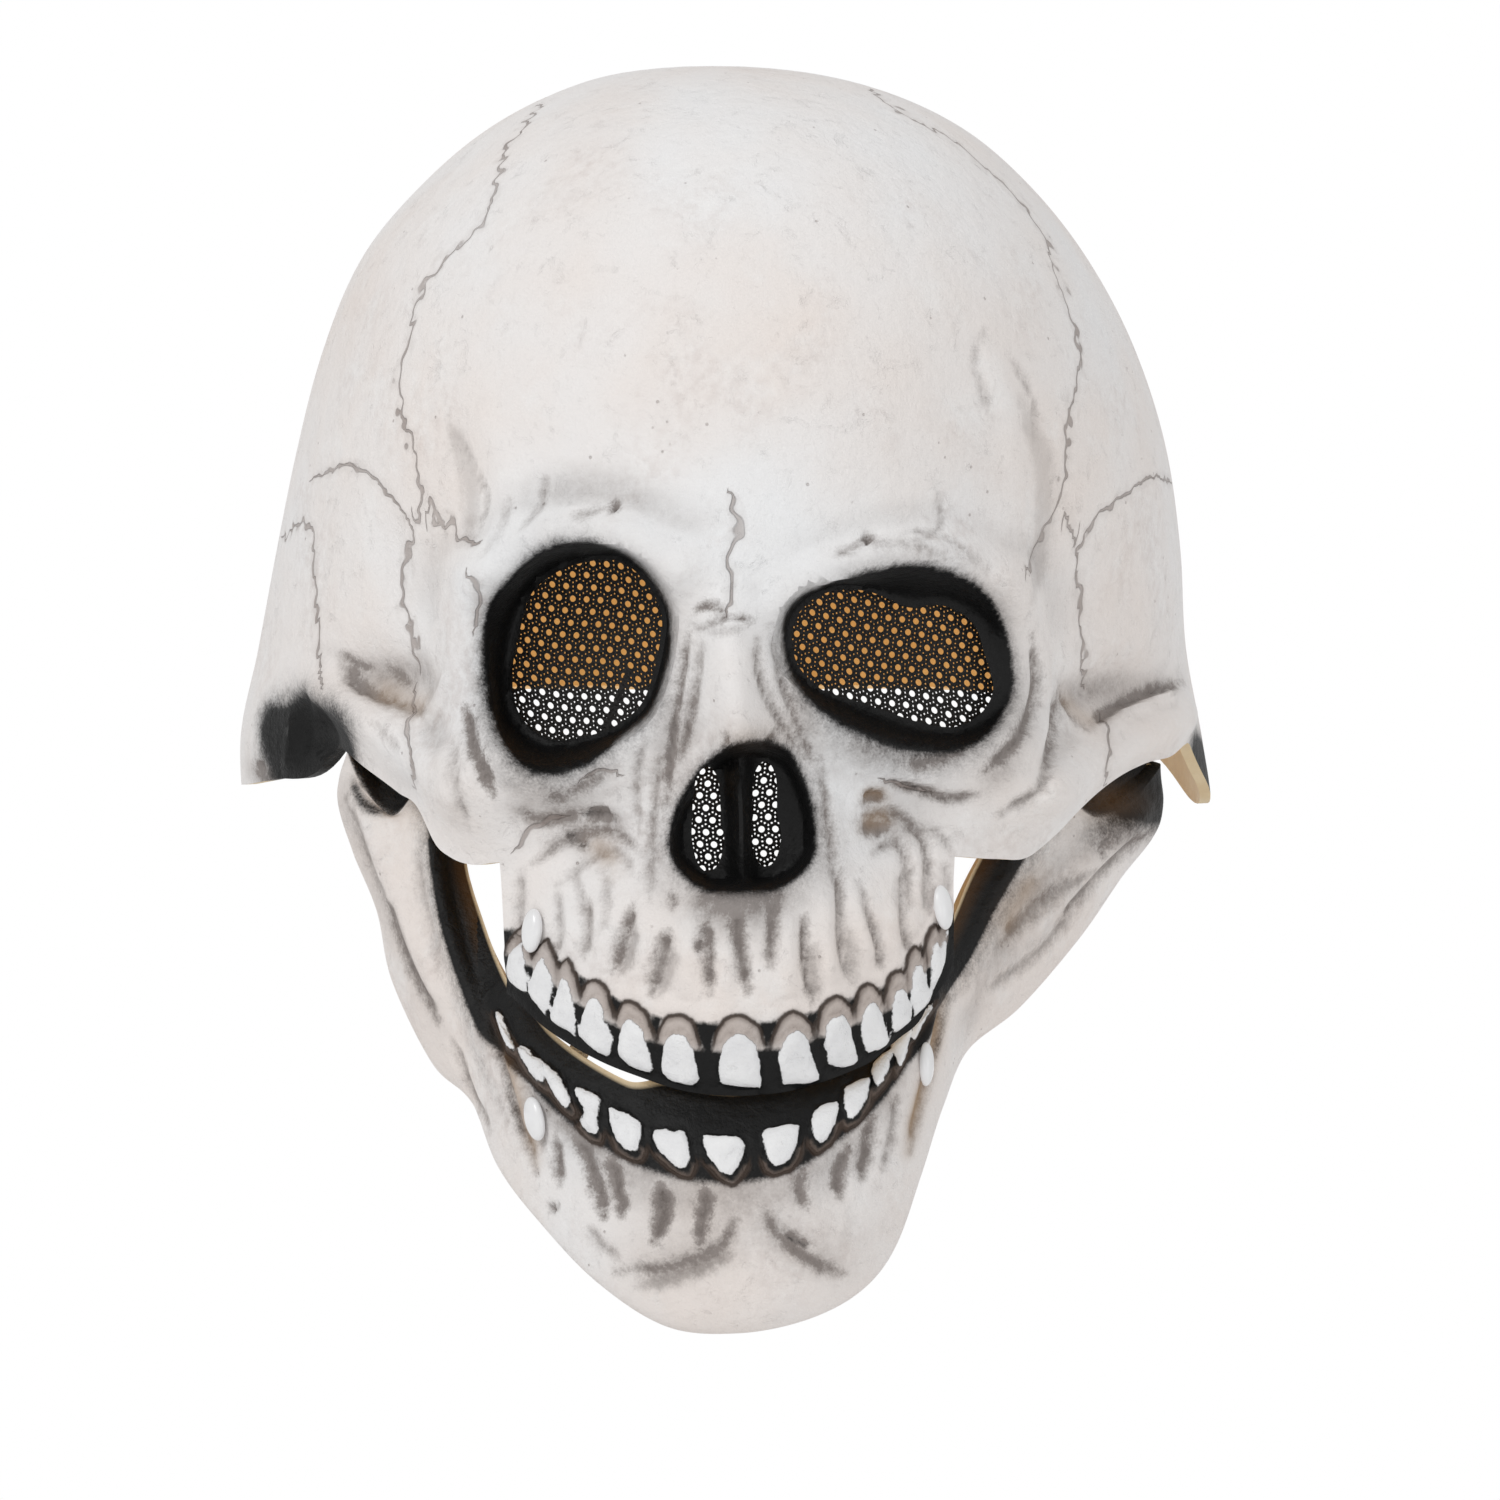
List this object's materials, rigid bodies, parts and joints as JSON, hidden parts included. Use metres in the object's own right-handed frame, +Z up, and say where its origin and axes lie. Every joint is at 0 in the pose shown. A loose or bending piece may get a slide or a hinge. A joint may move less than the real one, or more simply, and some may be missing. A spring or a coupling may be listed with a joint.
{
  "type": "skull mask",
  "caption": "Full-head moulded latex skull mask with a separate hanging jaw, knit net behind the eye and nose holes, and oval snap studs at the mouth corners.",
  "frame": {"origin": "inside of the crown, at the top of the head cavity, where the wearer's head carries the mask", "axes": "+Z up, the face looks along -Y, +X to the right of someone facing the mask"},
  "size_m": [0.1981, 0.2241, 0.2563],
  "materials": {
    "skull_latex": "matt painted latex",
    "jaw_latex": "matt painted latex",
    "net": "knit polyester net",
    "elastic": "woven elastic",
    "stud": "gloss"
  },
  "bodies": {
    "root": {"skull_shell": "skull_latex", "jaw_shell": "jaw_latex", "eye_net_left": "net", "eye_net_right": "net", "nose_net": "net", "jaw_strap_left": "elastic", "jaw_strap_right": "elastic", "stud_upper_left": "stud", "stud_upper_right": "stud", "stud_lower_left": "stud", "stud_lower_right": "stud"}
  },
  "joints": []
}
